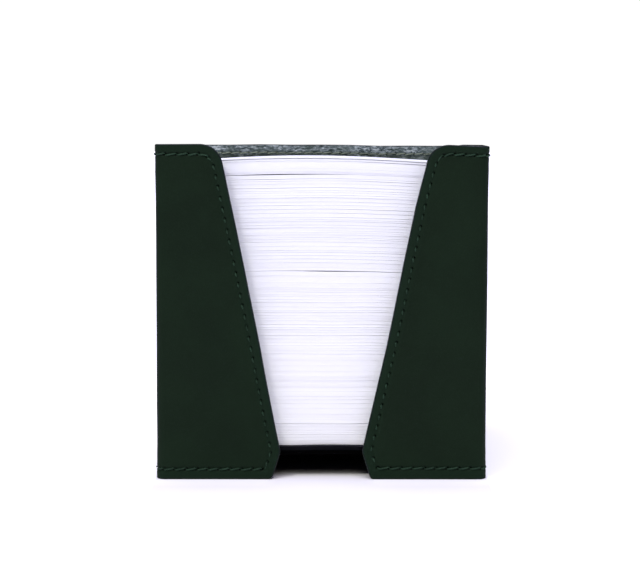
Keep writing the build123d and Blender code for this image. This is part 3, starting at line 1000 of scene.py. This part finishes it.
GROUPS = [  # where one batch of cards ends and the next begins, and how open that is left, in the middle and right, in 0.01 mm
    (11.3, 2, 2, 2), (12.4, 3, 3, 3), (13.1, 4, 5, 4), (13.7, 3, 3, 4), (14.3, 2, 2, 3), (15.3, 3, 2, 3), (16.1, 9, 8, 9), (17.4, 1, 1, 2),
    (18.1, 2, 2, 2), (19.0, 1, 1, 2), (21.0, 3, 3, 3), (22.4, 3, 2, 4), (23.6, 2, 2, 3), (24.6, 2, 2, 2), (26.1, 2, 2, 3),
    (27.5, 3, 3, 4), (28.8, 2, 1, 3), (29.5, 2, 2, 3), (30.3, 2, 1, 3), (30.9, 2, 1, 2), (32.4, 2, 2, 2), (34.3, 1, 1, 1),
    (35.9, 1, 1, 1), (36.7, 1, 1, 2), (37.8, 5, 4, 5), (38.9, 0, 1, 2), (39.6, 1, 1, 2), (40.4, 2, 3, 3), (41.2, 1, 1, 3),
    (42.4, 2, 1, 2), (43.5, 4, 4, 5), (44.5, 2, 1, 2), (45.2, 3, 2, 3), (45.9, 2, 2, 3), (46.7, 4, 4, 5), (47.9, 2, 2, 3),
    (48.7, 2, 1, 1), (49.5, 2, 2, 2), (50.5, 5, 4, 4), (51.0, 2, 1, 3), (52.1, 2, 2, 4), (53.5, 4, 3, 2), (54.3, 2, 1, 1),
    (55.2, 2, 2, 2), (55.7, 2, 2, 2), (56.6, 2, 4, 2), (57.3, 1, 1, 2), (57.8, 2, 2, 2), (59.4, 1, 1, 2), (61.6, 2, 1, 1),
    (64.1, 1, 1, 1), (65.7, 2, 2, 2), (66.8, 3, 3, 4), (67.9, 3, 3, 2), (68.8, 2, 3, 3), (69.4, 3, 1, 3), (70.7, 3, 2, 3),
    (72.0, 5, 4, 3), (72.8, 2, 1, 3), (73.3, 2, 3, 3), (74.2, 1, 1, 3), (74.8, 1, 2, 2), (75.4, 0, 1, 2), (76.3, 2, 2, 2),
    (77.1, 4, 3, 4), (78.2, 2, 2, 3), (78.7, 2, 3, 4), (79.4, 2, 3, 4), (80.7, 3, 3, 4), (81.9, 3, 3, 4), (83.1, 3, 2, 2),
    (84.1, 1, 2, 3), (85.4, 2, 3, 3), (86.1, 1, 2, 3), (86.9, 2, 2, 2), (87.5, 2, 2, 2), (88.4, 3, 3, 3), (89.6, 1, 1, 2),
    (90.5, 3, 2, 5), (91.1, 5, 4, 5), (93.2, 0, 1, 0), (94.1, 0, 1, 1), (94.9, 0, 0, 1), (95.3, 0, 0, 1), (96.5, 3, 4, 8)]


DROP = np.polyfit([-45, -30, -27, -21, -15, -9.4, 0, 5, 9, 12, 21, 27, 30, 45],
                  [1.65, 0.58, 0.46, 0.36, 0.22, 0.06, 0.0, 0.04, 0.15, 0.28, 0.80, 1.12, 1.24, 2.2], 4)


def squeeze(x):
    """How much thinner the block is towards its cut sides, as a share of the height over the floor."""
    return np.maximum(np.polyval(DROP, x), 0) / 88.0


def build_packet(node, name):
    lo, hi = (v.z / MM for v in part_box(node))
    room = hi - lo - np.interp(X_CUT, *SEAT[node])
    marks = [(z - lo, *w) for z, *w in GROUPS if lo + 0.15 < z < hi - 0.2]
    cuts = [0.0] + [m[0] for m in marks] + [hi - lo]
    counts = [max(2, round((b - a) / 0.103)) for a, b in zip(cuts, cuts[1:])]
    half = np.interp(lo + np.array(cuts[1:]), [8, 100], [12.5, 31.5])     # half the window's width there
    gaps = []
    for k, (z, a, b, c) in enumerate(marks):
        h = half[k]
        w = np.interp(X_CUT, [-h * 0.53, 0.5, h * 0.65, h], [a, b, c, c * 1.5]) * 0.0118
        gaps.append(w * np.clip(1 + 0.5 * noise2(X_CUT + 31 * k, X_CUT * 0 + z, 13, 3, 2), 0.3, 1.9) + 0.004)
    n = sum(counts)
    sheet = (room - sum(gaps) - 0.0012 * n) / n if gaps else (room - 0.0012 * n) / n
    verts, faces = [], []
    z = np.zeros(len(X_CUT))
    m, r = len(X_CUT), len(Y_CUT)
    for g, count in enumerate(counts):
        if g:
            z = z + gaps[g - 1]
        gx, gy, rot = rng.normal(0, 0.10), rng.normal(0, 0.06), rng.normal(0, 0.0005)
        for _ in range(count):
            low, high = z + 0.0012, z + 0.0012 + sheet
            z = high
            dx, dy, t = gx + rng.normal(0, 0.012), gy + rng.normal(0, 0.016), rot + rng.normal(0, 0.0001)
            c, s = math.cos(t), math.sin(t)
            base = len(verts)
            for h in (low, high):
                for y in Y_CUT:
                    up = lo + h - squeeze(X_CUT) * (lo - Z0 + h)
                    up = up + sag(X_CUT, y) * (1 - smooth(lo + h, 10.4, 17))
                    verts += [(x * c - y * s + dx, x * s + y * c + dy, v) for x, v in zip(X_CUT, up)]

            def at(level, row, k):
                return base + (level * r + row) * m + k
            for k in range(m - 1):
                for row in range(r - 1):
                    faces.append((at(0, row, k), at(0, row + 1, k), at(0, row + 1, k + 1), at(0, row, k + 1)))
                    faces.append((at(1, row, k), at(1, row, k + 1), at(1, row + 1, k + 1), at(1, row + 1, k)))
                faces.append((at(0, 0, k), at(0, 0, k + 1), at(1, 0, k + 1), at(1, 0, k)))
                faces.append((at(0, r - 1, k), at(1, r - 1, k), at(1, r - 1, k + 1), at(0, r - 1, k + 1)))
            for row in range(r - 1):
                faces.append((at(0, row, 0), at(1, row, 0), at(1, row + 1, 0), at(0, row + 1, 0)))
                faces.append((at(0, row, m - 1), at(0, row + 1, m - 1), at(1, row + 1, m - 1), at(1, row, m - 1)))
    ob = make_mesh(name, verts, faces, mats=(MAT["paper"],), smooth_shade=False)
    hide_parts(node)
    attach(ob, node)
    print(name, n, "sheets of", round(float(sheet.mean()), 4), "top", round(float(z.max() + lo), 2), len(faces), "faces")
    return ob


for node, name in packets:
    build_packet(node, name)


# ---------------------------------------------------------------- floor, light and camera
bpy.ops.mesh.primitive_circle_add(vertices=96, radius=30, fill_type="NGON", location=(0, 0, 0))
ground = bpy.context.object
ground.name = "studio_floor"
gm, gnt, gp = tree_for("studio_floor_white")
gp.inputs["Base Color"].default_value = (0.812, 0.797, 0.830, 1)
gp.inputs["Roughness"].default_value = 0.9
gp.inputs["Specular IOR Level"].default_value = 0.0
gp.inputs["Emission Color"].default_value = (0.985, 0.975, 1.0, 1)
gn = Nodes(gnt)                             # painted light: the floor glows outside the box, most just beside its walls and at its front foot to lift the shadows there, and more far off; not under the box
spot = gn.new("ShaderNodeSeparateXYZ")
gn.link(gn.coords(), spot.inputs[0])
ahead = gn.math("MULTIPLY", spot.outputs["Y"], -1.0)
reach = gn.math("SQRT", gn.math("ADD", gn.math("POWER", spot.outputs["X"], 2.0), gn.math("POWER", ahead, 2.0)))
glow = gn.range(ahead, 0.056, 0.12, 0.0, 0.20)
glow = gn.math("MAXIMUM", glow, gn.range(gn.math("ABSOLUTE", spot.outputs["X"]), 0.0498, 0.0512, 0.0, 0.38))
glow = gn.math("MAXIMUM", glow, gn.range(spot.outputs["Y"], 0.0498, 0.0512, 0.0, 0.38))
# painted light: a pool of glow on the floor just in front of the box's foot
foot_light = gn.math("MULTIPLY", gn.range(ahead, 0.0500, 0.0506, 0.0, 0.09), gn.range(ahead, 0.053, 0.062, 1.0, 0.0))
foot_light = gn.math("MULTIPLY", foot_light, gn.range(gn.math("ABSOLUTE", spot.outputs["X"]), 0.013, 0.018))
glow = gn.math("MAXIMUM", glow, foot_light)
gn.link(gn.math("ADD", glow, gn.range(reach, 0.3, 1.5, 0.0, 0.34)), gp.inputs["Emission Strength"])
ground.data.materials.append(gm)

scene = bpy.context.scene
scene.view_settings.view_transform = "Standard"
scene.view_settings.look = "None"
world = bpy.data.worlds.new("studio")
scene.world = world
world.use_nodes = True
wn = Nodes(world.node_tree)
bg = world.node_tree.nodes["Background"]
sky = world.node_tree.nodes.new("ShaderNodeTexCoord")
split = world.node_tree.nodes.new("ShaderNodeSeparateXYZ")
wn.link(sky.outputs["Generated"], split.inputs[0])
ray = world.node_tree.nodes.new("ShaderNodeLightPath")
dome = wn.range(split.outputs["Z"], 0.60, 0.90, 0.02, 1.80)
plain = wn.math("MAXIMUM", wn.math("MULTIPLY", ray.outputs["Is Camera Ray"], 1.02), dome)
wn.link(plain, bg.inputs["Strength"])
wn.link(wn.mix(ray.outputs["Is Camera Ray"], (0.985, 0.968, 1.40), (1.0, 1.0, 1.0)), bg.inputs["Color"])


def area(name, loc, target, size, watts, colour=(1, 1, 1)):
    d = bpy.data.lights.new(name, "AREA")
    d.shape, d.energy, d.color = "ELLIPSE", watts, colour
    d.size, d.size_y = size
    o = bpy.data.objects.new(name, d)
    o.location = loc
    o.rotation_euler = (Vector(target) - Vector(loc)).to_track_quat("-Z", "Y").to_euler()
    scene.collection.objects.link(o)
    return o


def around(azimuth, elevation, distance):
    a, e = math.radians(azimuth), math.radians(elevation)
    return (distance * math.sin(a) * math.cos(e), -distance * math.cos(a) * math.cos(e), 0.05 + distance * math.sin(e))


area("key_left", around(-33, 50, 1.25), (0, 0, 0.05), (0.14, 0.14), 4.5, (1.0, 0.99, 0.86))
area("front_soft", around(3, 57, 1.5), (0, 0, 0.05), (0.92, 1.5), 10.5, (1.0, 0.998, 0.82))

cam_data = bpy.data.cameras.new("camera")
cam_data.sensor_fit, cam_data.sensor_width = "HORIZONTAL", 36.0
cam_data.lens = 90.65
cam_data.clip_start, cam_data.clip_end = 0.01, 100
cam = bpy.data.objects.new("camera", cam_data)
pitch, roll = math.radians(4.847), math.radians(0.03)
fwd = Vector((0, math.cos(pitch), -math.sin(pitch)))
rt, up = Vector((1, 0, 0)), Vector((0, math.sin(pitch), math.cos(pitch)))
rt2 = math.cos(roll) * rt + math.sin(roll) * up
up2 = -math.sin(roll) * rt + math.cos(roll) * up
m = Matrix((rt2, up2, -fwd)).transposed().to_4x4()
m.translation = Vector((-0.000409, -0.53244, 0.100918))
cam.matrix_world = m
scene.collection.objects.link(cam)
scene.camera = cam

bpy.context.view_layer.update()
